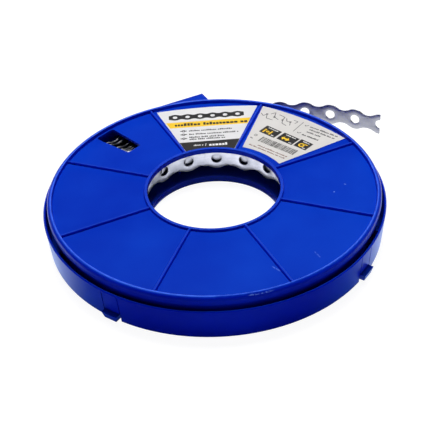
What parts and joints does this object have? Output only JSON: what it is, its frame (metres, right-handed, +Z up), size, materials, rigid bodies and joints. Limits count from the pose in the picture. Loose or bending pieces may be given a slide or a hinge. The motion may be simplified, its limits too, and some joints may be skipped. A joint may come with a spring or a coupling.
{
  "type": "fixing band dispenser cassette",
  "caption": "Round snap-together plastic cassette holding a coil of perforated steel fixing band, whose free end feeds out through a side spout; open centre hole and look-through window.",
  "frame": {"origin": "on the axis of the centre hole, at the resting face of the tray", "axes": "+Z up along the centre hole's axis, out of the labelled cover; +X the way the free tail of the band runs; +Y from the centre towards the spout's mouth"},
  "size_m": [0.1739, 0.173, 0.0217],
  "materials": {
    "blue_plastic": "semi-gloss injection-moulded polypropylene",
    "galvanised_steel": "dull galvanised strip",
    "label_paper": "satin sticker"
  },
  "bodies": {
    "case": {"base_shell": "blue_plastic", "top_cover": "blue_plastic", "product_label": "label_paper", "size_label": "label_paper"},
    "coil": {"band_coil": "galvanised_steel"},
    "tail": {"band_tail": "galvanised_steel"}
  },
  "joints": [
    {"name": "coil_turn", "type": "hinge", "parent": "case", "child": "coil", "pos_m": [0, 0, 0.0111], "axis": [0, 0, -1], "range_deg": [0, 23]},
    {"name": "tail_feed", "type": "slide", "parent": "case", "child": "tail", "axis": [0.8796, 0.4756, 0], "range_m": [0, 0.03]}
  ],
  "couplings": [
    {"joint": "tail_feed", "follows": "coil_turn", "m_per_rad": 0.0734}
  ]
}
